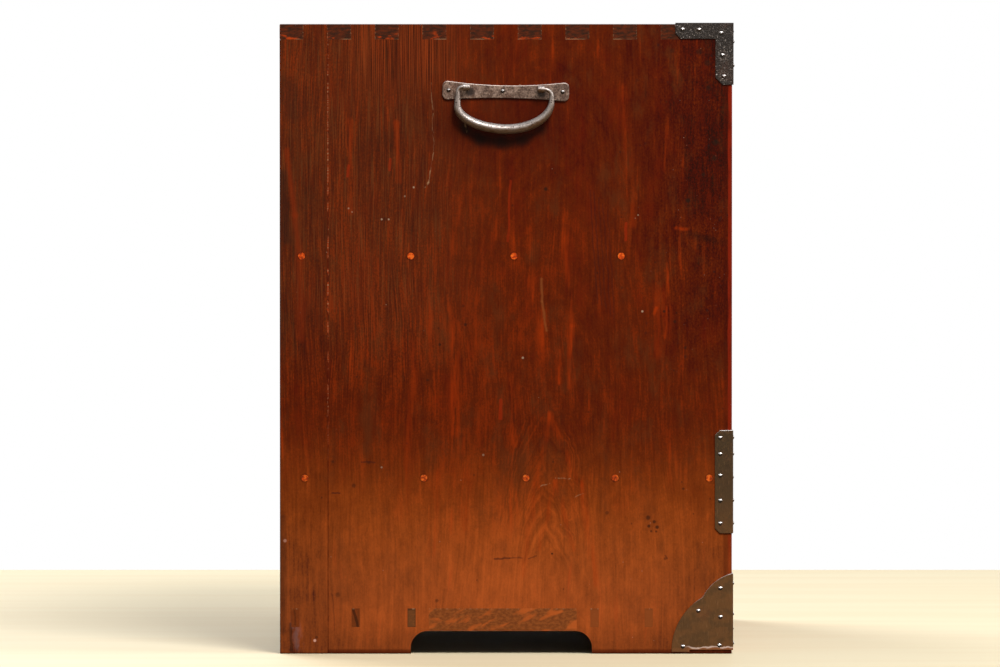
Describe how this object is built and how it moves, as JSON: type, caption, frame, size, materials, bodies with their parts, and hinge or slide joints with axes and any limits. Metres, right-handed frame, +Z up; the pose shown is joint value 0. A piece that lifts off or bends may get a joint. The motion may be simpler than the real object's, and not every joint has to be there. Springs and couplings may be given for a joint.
{
  "type": "small tansu chest",
  "caption": "Small wooden tansu chest with finger-jointed sides, a hinged cupboard door, drawers with bail pulls, iron corners and side carrying handles.",
  "frame": {"origin": "on the floor under the middle of the whole object, handles and door ring included", "axes": "+Z up; the front faces -Y; +X to the right of someone facing the front"},
  "size_m": [0.5224, 0.4024, 0.5582],
  "materials": {
    "lacquered_wood": "clear red-brown lacquer over straight-grained softwood, glossy, worn",
    "inside_wood": "bare planed softwood, matt",
    "peg_wood": "end grain of hardwood pegs under the same lacquer",
    "chased_iron": "black iron with punched and chased ground",
    "plain_iron": "thin hammered iron with brown patina",
    "nail_iron": "domed nail heads, polished by wear",
    "worn_steel": "forged bail, worn bright on its upper side"
  },
  "bodies": {
    "case": {"left_side_main_board": "lacquered_wood", "left_side_rear_board": "lacquered_wood", "right_side_main_board": "lacquered_wood", "right_side_rear_board": "lacquered_wood", "top_board": "lacquered_wood", "bottom_board": "lacquered_wood", "divider_board": "lacquered_wood", "cupboard_shelf": "inside_wood", "partition_board": "lacquered_wood", "drawer_rails": "lacquered_wood", "drawer_runners": "inside_wood", "front_apron": "lacquered_wood", "back_boards": "inside_wood", "wooden_pegs": "peg_wood", "top_corner_irons": "chased_iron", "middle_straps": "plain_iron", "foot_plates": "plain_iron", "case_nails": "nail_iron", "carry_handle_plates": "plain_iron", "carry_handle_eyes": "worn_steel", "hinge_case_leaves": "plain_iron", "hinge_pins": "plain_iron"},
    "left_carry_handle": {"left_carry_handle": "worn_steel"},
    "right_carry_handle": {"right_carry_handle": "worn_steel"},
    "door": {"door_board": "lacquered_wood", "door_cleats": "lacquered_wood", "hinge_door_leaves": "plain_iron", "door_lock_plate": "plain_iron", "door_ring_mount": "plain_iron", "door_nails": "nail_iron"},
    "door_lock_bolt": {"door_lock_bolt": "plain_iron"},
    "door_ring": {"door_ring": "worn_steel"},
    "lower_drawer": {"lower_drawer_front": "lacquered_wood", "lower_drawer_sides": "inside_wood", "lower_drawer_back": "inside_wood", "lower_drawer_bottom": "inside_wood", "lower_drawer_pull_mount": "plain_iron"},
    "middle_drawer": {"middle_drawer_front": "lacquered_wood", "middle_drawer_sides": "inside_wood", "middle_drawer_back": "inside_wood", "middle_drawer_bottom": "inside_wood", "middle_drawer_pull_mount": "plain_iron"},
    "upper_drawer": {"upper_drawer_front": "lacquered_wood", "upper_drawer_sides": "inside_wood", "upper_drawer_back": "inside_wood", "upper_drawer_bottom": "inside_wood", "upper_drawer_pull_mount": "plain_iron"},
    "wide_drawer": {"wide_drawer_front": "lacquered_wood", "wide_drawer_sides": "inside_wood", "wide_drawer_back": "inside_wood", "wide_drawer_bottom": "inside_wood", "wide_drawer_pull_mount": "plain_iron", "wide_drawer_lock_plate": "plain_iron"},
    "wide_drawer_lock_bolt": {"wide_drawer_lock_bolt": "plain_iron"},
    "lower_drawer_bail": {"lower_drawer_bail": "worn_steel"},
    "middle_drawer_bail": {"middle_drawer_bail": "worn_steel"},
    "upper_drawer_bail": {"upper_drawer_bail": "worn_steel"},
    "wide_drawer_left_bail": {"wide_drawer_left_bail": "worn_steel"},
    "wide_drawer_right_bail": {"wide_drawer_right_bail": "worn_steel"}
  },
  "joints": [
    {"name": "left_carry_handle_swing", "type": "hinge", "parent": "case", "child": "left_carry_handle", "pos_m": [-0.257, 0.00305, 0.5003], "axis": [0, 0.9996, 0.0297], "range_deg": [-3, 178]},
    {"name": "right_carry_handle_swing", "type": "hinge", "parent": "case", "child": "right_carry_handle", "pos_m": [0.257, 0.00305, 0.5003], "axis": [0, -1, 0], "range_deg": [-3, 178]},
    {"name": "door_hinge", "type": "hinge", "parent": "case", "child": "door", "pos_m": [-0.2314, -0.19045, 0.353], "axis": [0, 0, -1], "range_deg": [0, 110]},
    {"name": "door_lock_bolt_slide", "type": "slide", "parent": "door", "child": "door_lock_bolt", "axis": [1, 0, 0], "range_m": [0, 0.007]},
    {"name": "door_ring_swing", "type": "hinge", "parent": "door", "child": "door_ring", "pos_m": [-0.028, -0.19385, 0.31], "axis": [-1, 0, 0], "range_deg": [-8, 120]},
    {"name": "lower_drawer_slide", "type": "slide", "parent": "case", "child": "lower_drawer", "axis": [0, -1, 0], "range_m": [0, 0.3]},
    {"name": "middle_drawer_slide", "type": "slide", "parent": "case", "child": "middle_drawer", "axis": [0, -1, 0], "range_m": [0, 0.3]},
    {"name": "upper_drawer_slide", "type": "slide", "parent": "case", "child": "upper_drawer", "axis": [0, -1, 0], "range_m": [0, 0.3]},
    {"name": "wide_drawer_slide", "type": "slide", "parent": "case", "child": "wide_drawer", "axis": [0, -1, 0], "range_m": [0, 0.3]},
    {"name": "wide_drawer_lock_bolt_slide", "type": "slide", "parent": "wide_drawer", "child": "wide_drawer_lock_bolt", "axis": [0, 0, 1], "range_m": [0, 0.007]},
    {"name": "lower_drawer_bail_swing", "type": "hinge", "parent": "lower_drawer", "child": "lower_drawer_bail", "pos_m": [0.1245, -0.19225, 0.232], "axis": [-1, 0, 0], "range_deg": [-5, 178]},
    {"name": "middle_drawer_bail_swing", "type": "hinge", "parent": "middle_drawer", "child": "middle_drawer_bail", "pos_m": [0.1245, -0.19225, 0.363], "axis": [-1, 0, 0], "range_deg": [-5, 178]},
    {"name": "upper_drawer_bail_swing", "type": "hinge", "parent": "upper_drawer", "child": "upper_drawer_bail", "pos_m": [0.1245, -0.19225, 0.494], "axis": [-1, 0, 0], "range_deg": [-5, 178]},
    {"name": "wide_drawer_left_bail_swing", "type": "hinge", "parent": "wide_drawer", "child": "wide_drawer_left_bail", "pos_m": [-0.135, -0.19225, 0.10425], "axis": [-1, 0, 0], "range_deg": [-5, 178]},
    {"name": "wide_drawer_right_bail_swing", "type": "hinge", "parent": "wide_drawer", "child": "wide_drawer_right_bail", "pos_m": [0.135, -0.19225, 0.10425], "axis": [-1, 0, 0], "range_deg": [-5, 178]}
  ]
}
